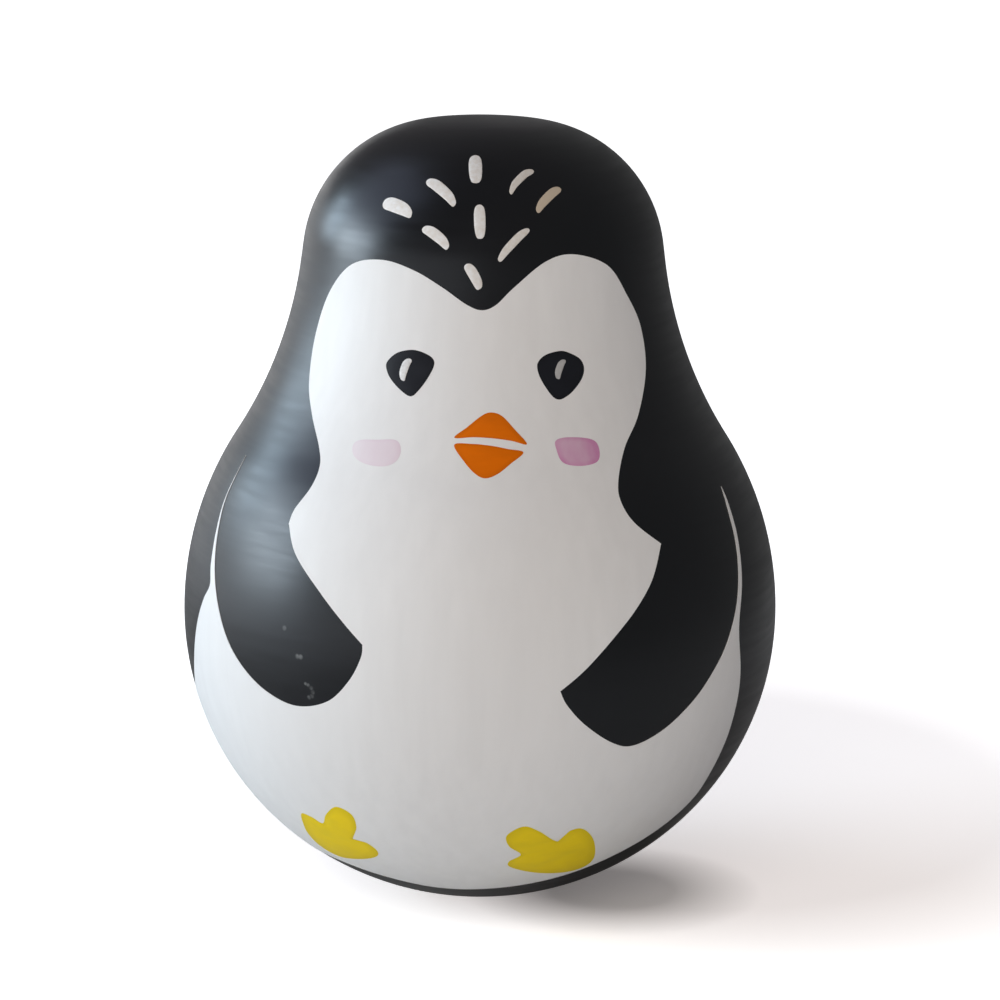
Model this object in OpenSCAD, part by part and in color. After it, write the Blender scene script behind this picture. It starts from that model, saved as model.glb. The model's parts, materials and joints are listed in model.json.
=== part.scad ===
// Roly poly toy: a turned wooden penguin that rights itself and chimes as it rocks.
// Two glued wooden shells hold a cast weight, a ring of chime rods and a clapper on a swivel.
// Millimetres, +Z up, the face towards -Y, the origin where the base touches the ground.

/* [Body] */
// Height of the toy
body_h = 120; // [114:1:130]
// Greatest diameter, across the belly
belly_d = 91; // [86:1:98]
// Height of the widest ring of the belly above the round base
belly_h = 44.6; // [42:0.2:48]
// Diameter of the small flat under the base, where the piece was parted from the lathe
foot_d = 6; // [4:0.5:8]
// Radius of the side above the belly
shoulder_r = 50; // [46:1:54]
// Radius of the hollow of the neck
neck_r = 66; // [56:1:76]
// Diameter of the head, measured below the crown
head_d = 57.4; // [54:0.2:61]
// How far below the top the head is measured
head_drop = 30; // [28:1:32]
// Lean of the sides of the head from upright, in degrees
head_lean = 7.5; // [5:0.5:9]
// Radius of the rounded edge of the crown
crown_edge_r = 21; // [18:0.5:23]
// Radius of the low dome of the crown
crown_r = 75; // [65:1:95]
// Thickness of the turned wall
wall_t = 6.5; // [5:0.5:7.5]

/* [Shell joint] */
// Height of the spigot on the upper shell that the lower shell takes in
spigot_h = 6; // [4:0.5:8]
// Height of the glued seam above the widest ring of the belly
seam_rise = 3.5; // [2:0.5:6]
// Glue gap around the spigot
glue_gap = 0.1; // [0.05:0.05:0.2]

/* [Ballast] */
// Wood left under the weight
floor_t = 10; // [9:0.5:12]
// Height of the cast weight
ballast_h = 14; // [11:1:17]
// Gap between the weight and the round of the bowl
ballast_gap = 0.4; // [0.3:0.1:1]
// Shank diameter of the screws
screw_d = 4; // [3:0.5:5]
// Depth that a screw bites into the piece below
screw_bite = 6; // [4:0.5:7]
// Ring radius of the screws that hold the weight
ballast_ring_r = 9; // [8:0.5:11]
// Ring radius of the screws that hold the chime block
block_ring_r = 20; // [18:0.5:22]

/* [Chime] */
// Diameter of the chime block
block_d = 54; // [54:1:60]
// Height of the chime block
block_h = 7; // [6:0.5:9]
// Diameter of a chime rod
rod_d = 2.5; // [2:0.1:3]
// Free length of the longest chime rod
rod_l = 34; // [28:1:38]
// Depth of the rod holes in the block
rod_seat = 5; // [4:0.5:5.5]

/* [Clapper] */
// Distance between the posts of the bridge
post_spread = 40; // [39:0.5:42]
// Diameter of a post
post_d = 5; // [4.5:0.5:5.5]
// Diameter of the cross bar
bar_d = 3; // [2.5:0.5:3.5]
// Length of the swivel's hub along the cross bar
hub_l = 8; // [7:0.5:10]
// Drop from the cross bar to the clapper's pin
pin_drop = 7.5; // [7:0.5:9]
// Diameter of the clapper's pin
pin_d = 2; // [1.6:0.1:2.2]
// Length of the clapper, from its pin to the centre of its ball
clapper_l = 15; // [13:0.5:17]
// Diameter of the clapper's stem
stem_d = 2.4; // [2:0.1:2.8]
// Diameter of the clapper's ball
ball_d = 14; // [12:0.5:15]
// Height of the ball's centre above the block
ball_lift = 12; // [11:0.5:14]
// How far the ball swings to each side
swing = 8; // [6:0.5:8.5]

/* [Paint] */
// Thickness of one coat of paint
coat_t = 0.25; // [0.2:0.05:0.4]
// Gap left under each coat
coat_gap = 0.05; // [0.02:0.01:0.08]

/* [Hidden] */
$fa = 3;
$fs = 0.4;

// Number of chime rods
ROD_COUNT = 8;
// Names of all the pieces, and the one that is drawn

// Overrun of every cut
cut = 1;
// Running gap around a turning pin or bar, on the radius
run_gap = 0.05;
// Gap around a pressed or screwed piece, on the radius
fit_gap = 0.03;
// Gap beside pieces that turn or swing past each other
side_gap = 0.3;

// Turned outline: arcs that run into each other, in a half section of radius and height
belly_r = belly_d / 2;
// The bowl is two roundings that meet: the tighter one is a share of the bowl's shorter side
tight_share = 0.99;
bowl_short = min(belly_r, belly_h);
bowl_long = max(belly_r, belly_h);
tight_r = tight_share * bowl_short;
wide_r = (pow(bowl_short, 2) + pow(bowl_long, 2) - 2 * bowl_long * tight_r) / (bowl_short - tight_r) / 2;
base_r = belly_h < belly_r ? wide_r : tight_r;
low_r = belly_h < belly_r ? tight_r : wide_r;
base_turn = -atan2(abs(base_r - belly_h), abs(belly_r - low_r));
// The foot is cut flat, and what is above comes down by as much
foot_turn = asin(foot_d / 2 / base_r);
base_c = [0, base_r * cos(foot_turn)];
belly_z = belly_h - base_r + base_c.y;
low_c = [belly_r - low_r, belly_z];
side_n = [cos(head_lean), sin(head_lean)];
side_t = [-sin(head_lean), cos(head_lean)];
side_off = side_n * [head_d / 2, body_h - head_drop];
crown_c = [0, body_h - crown_r];
edge_c = slide_to(side_n * (side_off - crown_edge_r), crown_c, crown_r - crown_edge_r);
edge_turn = atan2(edge_c.y - crown_c.y, edge_c.x - crown_c.x);

// The shoulder and the neck are two roundings that meet; where there is no room for both between
// the belly and the straight of the head's side, they shrink alike
side_l = 2;
side_low = edge_c + crown_edge_r * side_n - side_l * side_t;
rise = side_low - [belly_r, belly_z];
pull = shoulder_r * [1, 0] + neck_r * side_n;
room = 2 * shoulder_r * neck_r * (1 - side_n.x) * (rise * rise);
round_share = min(1, rise * rise / (sqrt(pow(rise * pull, 2) + room) - rise * pull));
bend_r = round_share * shoulder_r;
hollow_r = round_share * neck_r;
bend_c = [belly_r - bend_r, belly_z];
hollow_c = slide_to(side_n * (side_off + hollow_r), bend_c, bend_r + hollow_r);
bend_turn = atan2(hollow_c.y - bend_c.y, hollow_c.x - bend_c.x);

// Point reached from p along the head's side, upwards, at distance d from c
function slide_to(p, c, d) = let (w = p - c, b = w * side_t)
    p + (sqrt(b * b - w * w + d * d) - b) * side_t;

// Largest turn of an arc between two of its points, in degrees
ARC_STEP = 2;

// Points of an arc of radius r about c from angle a to angle b, without its first one
function arc(c, r, a, b) = let (n = ceil(abs(b - a) / ARC_STEP))
    [for (i = [1:1:n]) let (u = a + (b - a) * i / n) c + r * [cos(u), sin(u)]];

// Outline of the half section from the foot to the top of the axis, moved inwards by t
function outline(t) = concat(
    [[0, t], base_c + (base_r - t) * [sin(foot_turn), -cos(foot_turn)]],
    arc(base_c, base_r - t, foot_turn - 90, base_turn),
    arc(low_c, low_r - t, base_turn, 0),
    arc(bend_c, bend_r - t, 0, bend_turn),
    arc(hollow_c, hollow_r + t, 180 + bend_turn, 180 + head_lean),
    [edge_c + (crown_edge_r - t) * side_n],
    arc(edge_c, crown_edge_r - t, head_lean, edge_turn),
    arc(crown_c, crown_r - t, edge_turn, 90)
);

// Heights and radii of the joint and of the pieces inside
seam_z = belly_z + seam_rise;
spigot_r = belly_r - wall_t / 2;
ballast_z = floor_t + ballast_h;
block_z = ballast_z + block_h;
ball_z = block_z + ball_lift;
pin_z = ball_z + clapper_l;
bar_z = pin_z + pin_drop;

// Screws: a countersunk head for the weight, a round flat head for the block, as shares of the shank
sunk_head_d_share = 2;
flat_head_d_share = 1.75;
flat_head_h_share = 0.6;
sunk_head_d = sunk_head_d_share * screw_d;
flat_head_d = flat_head_d_share * screw_d;
flat_head_h = flat_head_h_share * screw_d;
SCREW_COUNT = 4;
// Turn of the block's screws, to stand between those of the weight
flat_turn = 180 / SCREW_COUNT;

// Chime rods stand in pairs on four sides, where the ball just reaches them at its limits
rod_out = swing + ball_d / 2 + rod_d / 2 + side_gap;
// How far along its side a rod stands, as a share of the ball's swing
rod_side_share = 0.475;
rod_side = rod_side_share * swing;
// Semitones of the rods above the longest, one major scale
rod_notes = [0, 2, 4, 5, 7, 9, 11, 12];
// A rod sounds one semitone higher for each 24th root of two that it is shorter
function rod_length(i) = rod_l * pow(2, -rod_notes[i - 1] / 24);

// Bridge and swivel
post_over = 3;
hub_d = 8.6;
collar_d = 6.5;
collar_w = 2.5;
fork_w = 6;
fork_d = 8;
fork_slot = 4.8;
fork_chamfer = 1.2;
eye_d = 5.6;
eye_l = fork_slot - 2 * side_gap;
// Where the stem starts in the eye and how flat the ball is cut, as shares of their radii
stem_start_share = 0.7;
ball_flat_share = 0.94;
stem_head_d = 4.4;
stem_head_h = 1.2;

// Painted outlines in the front view: shares of the belly's radius and of the height
right_corner_shares = [0.578, 0.517];
left_corner_shares = [-0.61, 0.533];
left_tip_shares = [-0.365, 0.406];
right_tip_shares = [0.26, 0.355];
left_point_shares = [-0.77, 0.59];
right_point_shares = [0.785, 0.562];
hood_shares = [
    right_corner_shares, [0.49, 0.545], [0.447, 0.57], [0.439, 0.592], [0.46, 0.627], [0.505, 0.661],
    [0.53, 0.71], [0.513, 0.76], [0.467, 0.8], [0.4, 0.84], [0.29, 0.857], [0.2, 0.85], [0.1, 0.82],
    [0.045, 0.8], [0, 0.7935], [-0.05, 0.8], [-0.13, 0.82], [-0.22, 0.838], [-0.32, 0.847],
    [-0.42, 0.837], [-0.493, 0.8], [-0.54, 0.745], [-0.558, 0.69], [-0.545, 0.655], [-0.517, 0.62],
    [-0.514, 0.6], [-0.54, 0.577], [-0.592, 0.55], left_corner_shares
];
left_arm_front_shares = [left_corner_shares, [-0.585, 0.5], [-0.5, 0.46], [-0.428, 0.43], left_tip_shares];
left_arm_back_shares = [
    left_tip_shares, [-0.37, 0.39], [-0.408, 0.36], [-0.478, 0.33], [-0.58, 0.317], [-0.68, 0.327],
    [-0.762, 0.35], [-0.818, 0.38], [-0.853, 0.42], [-0.865, 0.46], [-0.857, 0.5], [-0.832, 0.54],
    left_point_shares
];
back_shares = [
    left_point_shares, [-0.834, 0.54], [-0.863, 0.5], [-0.879, 0.46], [-0.881, 0.435], [-0.903, 0.415],
    [-0.923, 0.39], [-0.937, 0.36], [-0.945, 0.325], [-0.948, 0.3], [-0.949, 0.28], [-0.947, 0.26],
    [-0.935, 0.24], [-0.92, 0.22], [-0.87, 0.18], [-0.815, 0.15], [-0.75, 0.12], [-0.66, 0.094],
    [-0.57, 0.082], [-0.46, 0.0765], [-0.3, 0.064], [-0.1, 0.053], [0.12, 0.06], [0.33, 0.08],
    [0.56, 0.12], [0.7, 0.16], [0.765, 0.2],
    [0.818, 0.25], [0.847, 0.3], [0.854, 0.34], [0.845, 0.395], [0.854, 0.45], [0.84, 0.5], [0.81, 0.54],
    right_point_shares
];
right_arm_back_shares = [
    right_point_shares, [0.803, 0.54], [0.831, 0.5], [0.842, 0.46], [0.834, 0.42], [0.802, 0.38],
    [0.757, 0.35], [0.695, 0.32], [0.6, 0.29], [0.5, 0.2745], [0.43, 0.282], [0.34, 0.31],
    [0.282, 0.337], right_tip_shares
];
right_arm_front_shares = [
    right_tip_shares, [0.34, 0.38], [0.44, 0.42], [0.506, 0.45], [0.552, 0.48], right_corner_shares
];
left_eye_shares = [
    [-0.225, 0.7435], [-0.19, 0.742], [-0.157, 0.736], [-0.15, 0.7275], [-0.169, 0.7125],
    [-0.198, 0.6975], [-0.223, 0.69], [-0.252, 0.695], [-0.284, 0.706], [-0.301, 0.717],
    [-0.301, 0.727], [-0.27, 0.7385]
];
right_eye_shares = [
    [0.25, 0.7435], [0.285, 0.7395], [0.315, 0.732], [0.327, 0.7215], [0.32, 0.7095], [0.293, 0.6965],
    [0.269, 0.69], [0.248, 0.6875], [0.227, 0.6915], [0.2, 0.705], [0.182, 0.718], [0.178, 0.73],
    [0.202, 0.7395]
];
upper_beak_shares = [
    [-0.083, 0.646], [-0.043, 0.658], [0.002, 0.671], [0.032, 0.675], [0.067, 0.671], [0.107, 0.656],
    [0.147, 0.639], [0.097, 0.643], [0.037, 0.646], [-0.023, 0.647]
];
lower_beak_shares = [
    [-0.083, 0.638], [-0.023, 0.6395], [0.037, 0.6375], [0.087, 0.634], [0.136, 0.63], [0.097, 0.618],
    [0.057, 0.607], [0.019, 0.602], [-0.013, 0.606], [-0.048, 0.6185]
];
left_foot_shares = [
    [-0.575, 0.157], [-0.54, 0.156], [-0.503, 0.15], [-0.49, 0.167], [-0.455, 0.183], [-0.405, 0.175],
    [-0.39, 0.155], [-0.403, 0.131], [-0.36, 0.131], [-0.323, 0.118], [-0.332, 0.106], [-0.393, 0.094],
    [-0.46, 0.0885], [-0.52, 0.1], [-0.556, 0.119], [-0.57, 0.136]
];
right_foot_shares = [
    [0.097, 0.158], [0.15, 0.1715], [0.2, 0.163], [0.263, 0.1435], [0.3, 0.159], [0.343, 0.16],
    [0.378, 0.14], [0.386, 0.108], [0.36, 0.0895], [0.298, 0.082], [0.2, 0.0875], [0.113, 0.102],
    [0.105, 0.113], [0.143, 0.125], [0.105, 0.14]
];
// Brush marks: where one starts and ends, its half width, and how far it bows, of its length
crown_mark_shares = [
    [[-0.028, 0.97], [-0.024, 0.9405], 0.021, 0],
    [[-0.012, 0.917], [-0.008, 0.878], 0.018, 0],
    [[-0.052, 0.848], [-0.008, 0.8185], 0.0165, 0.06],
    [[-0.182, 0.941], [-0.09, 0.9155], 0.0165, 0.1],
    [[-0.322, 0.912], [-0.228, 0.902], 0.021, 0.1],
    [[-0.192, 0.888], [-0.11, 0.866], 0.017, 0.1],
    [[0.16, 0.9535], [0.086, 0.929], 0.0115, -0.14],
    [[0.247, 0.933], [0.172, 0.908], 0.0145, -0.1],
    [[0.147, 0.889], [0.052, 0.852], 0.013, -0.06]
];
glint_mark_shares = [
    [[-0.225, 0.733], [-0.249, 0.707], 0.012, -0.12],
    [[0.263, 0.733], [0.243, 0.711], 0.011, -0.12]
];
cheek_mark_shares = [
    [[-0.405, 0.624], [-0.252, 0.625], 0.042, 0],
    [[0.236, 0.631], [0.38, 0.626], 0.044, 0]
];
// One brush mark: shares along its length and of its half width
mark_shares = [
    [0, 0], [0.07, 0.72], [0.3, 1], [0.72, 0.95], [0.95, 0.62], [1, 0], [0.95, -0.62], [0.7, -0.95],
    [0.28, -1], [0.07, -0.72]
];
// Straight steps between two points of a painted outline
PAINT_STEPS = 2;

// Place in the front view of a point given in shares
function place(s) = [s.x * belly_r, s.y * body_h];

// Point between b and c on the smooth curve through a, b, c and d
function between(a, b, c, d, u) = (2 * b + (c - a) * u + (2 * a - 5 * b + 4 * c - d) * u * u
    + (3 * b - a - 3 * c + d) * u * u * u) / 2;

// Smooth open curve through the points, without its last one
function curve(p) = let (n = len(p) - 1) [
    for (i = [0:n - 1]) for (k = [0:PAINT_STEPS - 1])
        between(p[max(i - 1, 0)], p[i], p[i + 1], p[min(i + 2, n)], k / PAINT_STEPS)
];

// Smooth closed curve through the points
function loop(p) = let (n = len(p)) [
    for (i = [0:n - 1]) for (k = [0:PAINT_STEPS - 1])
        between(p[(i + n - 1) % n], p[i], p[(i + 1) % n], p[(i + 2) % n], k / PAINT_STEPS)
];

// All points of a list, placed in the front view
function places(list) = [for (s = list) place(s)];

// Outline of a brush mark, bowed across the line from its start to its end
function brush_mark(m) = let (
    a = place(m[0]),
    along = place(m[1]) - a,
    side = [-along.y, along.x],
    half_w = m[2] * belly_r / norm(along)
) [for (s = mark_shares) a + along * s.x + side * (s.y * half_w + m[3] * 4 * s.x * (1 - s.x))];

// Half section of the body, moved inwards by t
module half_section(t = 0) {
    polygon(outline(t));
}

// Part of a half section between two heights
module band(low, high) {
    intersection() {
        children();
        translate([0, low]) square([belly_d, high - low]);
    }
}

// Copies on a ring of screws
module ring(r, turn = 0) {
    for (i = [0:SCREW_COUNT - 1]) rotate(turn + i * 360 / SCREW_COUNT) translate([r, 0, 0]) children();
}

// Countersunk screw of length l under its top at the origin, or its hole with gap g
module sunk_screw(l, g = 0) {
    head_r = sunk_head_d / 2 + g;
    shank_r = screw_d / 2 + g;
    rotate_extrude() polygon([[0, 0], [head_r, 0], [shank_r, shank_r - head_r], [shank_r, -l], [0, -l]]);
}

// Round flat-headed screw of length l under its head, whose seat is at the origin
module flat_screw(l) {
    cylinder(d = flat_head_d, h = flat_head_h);
    translate([0, 0, -l]) cylinder(d = screw_d, h = l + flat_head_h / 2);
}

// Bored cylinder of length l along Z, centred
module tube(d, bore, l) {
    difference() {
        cylinder(d = d, h = l, center = true);
        cylinder(d = bore, h = l + 2 * cut, center = true);
    }
}

// Coat of paint number level over the shell, cut to outlines in the front view
module coat(level) {
    intersection() {
        rotate_extrude() difference() {
            half_section(-level * coat_t);
            half_section((1 - level) * coat_t - coat_gap);
        }
        rotate([90, 0, 0]) linear_extrude(height = belly_d) children();
    }
}

// Upper half of the body with the spigot below its seam
module upper_shell() {
    color([0.08, 0.08, 0.09]) rotate_extrude() {
        difference() {
            half_section();
            half_section(wall_t);
            translate([0, -cut]) square([belly_d, seam_z + cut]);
        }
        translate([belly_r - wall_t, seam_z - spigot_h])
            square([spigot_r - belly_r + wall_t, spigot_h + wall_t / 2]);
    }
}

// Lower half of the body: the bowl that the toy rocks on
module lower_shell() {
    color([0.08, 0.08, 0.09]) difference() {
        rotate_extrude() difference() {
            half_section();
            band(floor_t, body_h) half_section(wall_t);
            translate([0, seam_z]) square([belly_d, body_h]);
            translate([0, seam_z - spigot_h - glue_gap]) square([spigot_r + glue_gap, body_h]);
        }
        translate([0, 0, ballast_z]) ring(ballast_ring_r)
            sunk_screw(ballast_h + screw_bite, fit_gap);
    }
}

// Cast weight that fills the bottom of the bowl
module ballast_weight() {
    color([0.32, 0.32, 0.34]) difference() {
        rotate_extrude() band(floor_t, ballast_z) half_section(wall_t + ballast_gap);
        translate([0, 0, ballast_z]) {
            ring(ballast_ring_r) sunk_screw(ballast_h + screw_bite, fit_gap);
            translate([0, 0, -screw_bite]) ring(block_ring_r, flat_turn)
                cylinder(d = screw_d + 2 * fit_gap, h = screw_bite + cut);
        }
    }
}

// Screws that hold the weight on the floor of the bowl
module ballast_screws() {
    color([0.75, 0.65, 0.35]) translate([0, 0, ballast_z]) ring(ballast_ring_r)
        sunk_screw(ballast_h + screw_bite);
}

// Wooden block that the rods and the posts stand in
module chime_block() {
    color([0.78, 0.6, 0.4]) difference() {
        translate([0, 0, ballast_z]) cylinder(d = block_d, h = block_h);
        translate([0, 0, block_z - rod_seat]) {
            for (i = [1:ROD_COUNT]) rod_place(i) cylinder(d = rod_d + 2 * fit_gap, h = rod_seat + cut);
            for (s = [-1, 1]) translate([s * post_spread / 2, 0, 0])
                cylinder(d = post_d + 2 * fit_gap, h = rod_seat + cut);
        }
        translate([0, 0, ballast_z - cut]) ring(block_ring_r, flat_turn)
            cylinder(d = screw_d + 2 * fit_gap, h = block_h + 2 * cut);
    }
}

// Screws that hold the block on the weight
module block_screws() {
    color([0.75, 0.65, 0.35]) translate([0, 0, block_z]) ring(block_ring_r, flat_turn)
        flat_screw(block_h + screw_bite);
}

// Moves a child to where chime rod i stands, two rods on each of the four sides
module rod_place(i) {
    rotate(90 * floor((i - 1) / 2)) translate([rod_out, (i % 2 == 0 ? 1 : -1) * rod_side, 0]) children();
}

// One chime rod
module chime_rod(i) {
    color([0.8, 0.81, 0.83]) rod_place(i) translate([0, 0, block_z - rod_seat])
        cylinder(d = rod_d, h = rod_seat + rod_length(i));
}

// Post of the bridge on the side s, with the cross hole for the bar
module post(s) {
    color([0.66, 0.67, 0.7]) translate([s * post_spread / 2, 0, 0]) difference() {
        translate([0, 0, block_z - rod_seat])
            cylinder(d = post_d, h = rod_seat + bar_z - block_z + post_over);
        translate([0, 0, bar_z]) rotate([0, 90, 0])
            cylinder(d = bar_d + 2 * fit_gap, h = post_d + 2 * cut, center = true);
    }
}

// Cross bar through both posts, which the swivel turns on
module cross_bar() {
    color([0.72, 0.73, 0.75]) translate([0, 0, bar_z]) rotate([0, 90, 0])
        cylinder(d = bar_d, h = post_spread + post_d + 2 * fit_gap, center = true);
}

// Rings on the bar that keep the swivel in the middle
module swivel_collars() {
    color([0.72, 0.73, 0.75]) for (s = [-1, 1])
        translate([s * (hub_l / 2 + side_gap + collar_w / 2), 0, bar_z]) rotate([0, 90, 0])
            tube(collar_d, bar_d + 2 * fit_gap, collar_w);
}

// Swivel: a hub on the cross bar with a fork below it for the clapper
module swivel_block() {
    fork_low = -pin_drop - fork_w / 2;
    color([0.8, 0.66, 0.32]) translate([0, 0, bar_z]) difference() {
        union() {
            rotate([0, 90, 0]) cylinder(d = hub_d, h = hub_l, center = true);
            rotate([90, 0, 0]) linear_extrude(height = fork_d, center = true) polygon([
                [-fork_w / 2, 0],
                [-fork_w / 2, fork_low + fork_chamfer],
                [fork_chamfer - fork_w / 2, fork_low],
                [fork_w / 2 - fork_chamfer, fork_low],
                [fork_w / 2, fork_low + fork_chamfer],
                [fork_w / 2, 0]
            ]);
        }
        rotate([0, 90, 0]) cylinder(d = bar_d + 2 * run_gap, h = hub_l + 2 * cut, center = true);
        translate([-hub_l, -fork_slot / 2, fork_low - cut])
            cube([2 * hub_l, fork_slot, fork_w / 2 + cut + eye_d / 2 + side_gap]);
        translate([0, 0, -pin_drop]) rotate([90, 0, 0])
            cylinder(d = pin_d + 2 * fit_gap, h = fork_d + 2 * cut, center = true);
    }
}

// Pin across the fork that the clapper hangs on
module swivel_pin() {
    color([0.72, 0.73, 0.75]) translate([0, 0, pin_z]) rotate([90, 0, 0])
        cylinder(d = pin_d, h = fork_d, center = true);
}

// Stem of the clapper: an eye at its top, a shoulder above the ball and a riveted head below it
module clapper_stem() {
    flat = ball_flat_share * ball_d / 2;
    stem_top = pin_z - stem_start_share * eye_d / 2;
    stem_low = ball_z - flat - stem_head_h;
    color([0.72, 0.73, 0.75]) difference() {
        union() {
            translate([0, 0, pin_z]) rotate([90, 0, 0]) cylinder(d = eye_d, h = eye_l, center = true);
            translate([0, 0, stem_low]) cylinder(d = stem_d, h = stem_top - stem_low);
            translate([0, 0, ball_z + flat]) cylinder(d = stem_head_d, h = stem_head_h);
            translate([0, 0, stem_low]) cylinder(d = stem_head_d, h = stem_head_h);
        }
        translate([0, 0, pin_z]) rotate([90, 0, 0])
            cylinder(d = pin_d + 2 * run_gap, h = eye_l + 2 * cut, center = true);
    }
}

// Ball of the clapper, flat where the stem's shoulder and head bear on it
module clapper_ball() {
    flat = ball_flat_share * ball_d / 2;
    color([0.85, 0.7, 0.36]) translate([0, 0, ball_z]) difference() {
        intersection() {
            sphere(d = ball_d);
            cube([2 * ball_d, 2 * ball_d, 2 * flat], center = true);
        }
        cylinder(d = stem_d + 2 * fit_gap, h = ball_d + 2 * cut, center = true);
    }
}

// White of the face, the belly and the lines behind the flippers
module white_front() {
    color([0.93, 0.93, 0.92]) coat(1) polygon(concat(
        curve(places(hood_shares)),
        curve(places(left_arm_front_shares)),
        curve(places(left_arm_back_shares)),
        curve(places(back_shares)),
        curve(places(right_arm_back_shares)),
        curve(places(right_arm_front_shares))
    ));
}

// Short white brush marks on the crown
module crown_strokes() {
    color([0.93, 0.93, 0.92]) coat(1) for (m = crown_mark_shares) polygon(loop(brush_mark(m)));
}

// Black eyes
module eyes() {
    color([0.06, 0.06, 0.08]) coat(2) for (e = [left_eye_shares, right_eye_shares]) polygon(loop(places(e)));
}

// White glint on each eye
module eye_glints() {
    color([0.93, 0.93, 0.92]) coat(3) for (m = glint_mark_shares) polygon(loop(brush_mark(m)));
}

// Orange beak in two halves
module beak() {
    color([0.86, 0.43, 0.06]) coat(2)
        for (b = [upper_beak_shares, lower_beak_shares]) polygon(loop(places(b)));
}

// Pink cheeks
module cheeks() {
    color([0.86, 0.66, 0.76]) coat(2) for (m = cheek_mark_shares) polygon(loop(brush_mark(m)));
}

// Yellow feet with three toes
module feet() {
    color([0.88, 0.78, 0.14]) coat(2)
        for (f = [left_foot_shares, right_foot_shares]) polygon(loop(places(f)));
}

upper_shell();
lower_shell();
ballast_weight();
ballast_screws();
chime_block();
block_screws();
for (i = [1:ROD_COUNT]) chime_rod(i);
post(-1);  // left_post
post(1);  // right_post
cross_bar();
swivel_collars();
swivel_block();
swivel_pin();
clapper_stem();
clapper_ball();
white_front();
crown_strokes();
eyes();
eye_glints();
beak();
cheeks();
feet();
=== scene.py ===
"""Roly poly toy painted as a penguin: its turned shells, its coats of paint and the chime inside it."""

import json
import math

import bpy
import numpy as np
from bpy.props import FloatProperty, FloatVectorProperty, PointerProperty
from mathutils import Matrix, Vector
from mathutils.geometry import delaunay_2d_cdt


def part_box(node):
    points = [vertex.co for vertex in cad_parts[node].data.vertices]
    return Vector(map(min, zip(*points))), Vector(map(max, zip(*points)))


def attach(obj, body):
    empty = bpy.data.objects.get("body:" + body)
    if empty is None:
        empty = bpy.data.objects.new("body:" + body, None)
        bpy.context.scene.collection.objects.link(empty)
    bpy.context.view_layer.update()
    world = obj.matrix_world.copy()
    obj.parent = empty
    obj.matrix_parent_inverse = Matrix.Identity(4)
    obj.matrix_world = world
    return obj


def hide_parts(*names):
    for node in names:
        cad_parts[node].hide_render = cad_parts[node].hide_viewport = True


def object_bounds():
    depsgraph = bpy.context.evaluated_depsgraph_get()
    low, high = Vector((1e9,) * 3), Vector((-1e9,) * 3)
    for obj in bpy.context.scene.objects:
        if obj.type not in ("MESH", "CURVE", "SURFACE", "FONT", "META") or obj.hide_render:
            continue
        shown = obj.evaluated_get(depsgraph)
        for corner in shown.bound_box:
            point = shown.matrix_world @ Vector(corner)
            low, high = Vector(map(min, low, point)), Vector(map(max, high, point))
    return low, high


bl_info = {
    "name": "Roly Poly Toy",
    "version": (1, 0, 0),
    "blender": (4, 5, 0),
    "location": "3D View > Sidebar > Roly Poly",
    "description": "Builds a turned and painted wooden penguin that rights itself and chimes",
    "category": "Add Mesh",
}

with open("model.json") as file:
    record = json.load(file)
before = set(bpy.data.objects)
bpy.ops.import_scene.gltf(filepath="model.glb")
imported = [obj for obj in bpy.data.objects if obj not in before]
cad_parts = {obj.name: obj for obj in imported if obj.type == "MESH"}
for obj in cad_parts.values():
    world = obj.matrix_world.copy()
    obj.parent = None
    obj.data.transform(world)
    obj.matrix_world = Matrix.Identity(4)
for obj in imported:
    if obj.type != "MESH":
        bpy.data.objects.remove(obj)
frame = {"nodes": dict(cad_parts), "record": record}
CAD_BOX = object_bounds()
MM = 0.001
TINY = 1e-9

# Painted outlines in the front view: shares of the belly's radius and of the height
RIGHT_CORNER = (0.578, 0.517)
LEFT_CORNER = (-0.61, 0.533)
LEFT_TIP = (-0.365, 0.406)
RIGHT_TIP = (0.26, 0.355)
LEFT_POINT = (-0.77, 0.59)
RIGHT_POINT = (0.785, 0.562)
HOOD = [
    RIGHT_CORNER, (0.49, 0.545), (0.447, 0.57), (0.439, 0.592), (0.46, 0.627), (0.505, 0.661),
    (0.53, 0.71), (0.513, 0.76), (0.467, 0.8), (0.4, 0.84), (0.29, 0.857), (0.2, 0.85), (0.1, 0.82),
    (0.045, 0.8), (0, 0.7935), (-0.05, 0.8), (-0.13, 0.82), (-0.22, 0.838), (-0.32, 0.847),
    (-0.42, 0.837), (-0.493, 0.8), (-0.54, 0.745), (-0.558, 0.69), (-0.545, 0.655), (-0.517, 0.62),
    (-0.514, 0.6), (-0.54, 0.577), (-0.592, 0.55), LEFT_CORNER,
]
LEFT_ARM_FRONT = [LEFT_CORNER, (-0.585, 0.5), (-0.5, 0.46), (-0.428, 0.43), LEFT_TIP]
LEFT_ARM_BACK = [
    LEFT_TIP, (-0.37, 0.39), (-0.408, 0.36), (-0.478, 0.33), (-0.58, 0.317), (-0.68, 0.327),
    (-0.762, 0.35), (-0.818, 0.38), (-0.853, 0.42), (-0.865, 0.46), (-0.857, 0.5), (-0.832, 0.54),
    LEFT_POINT,
]
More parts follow.
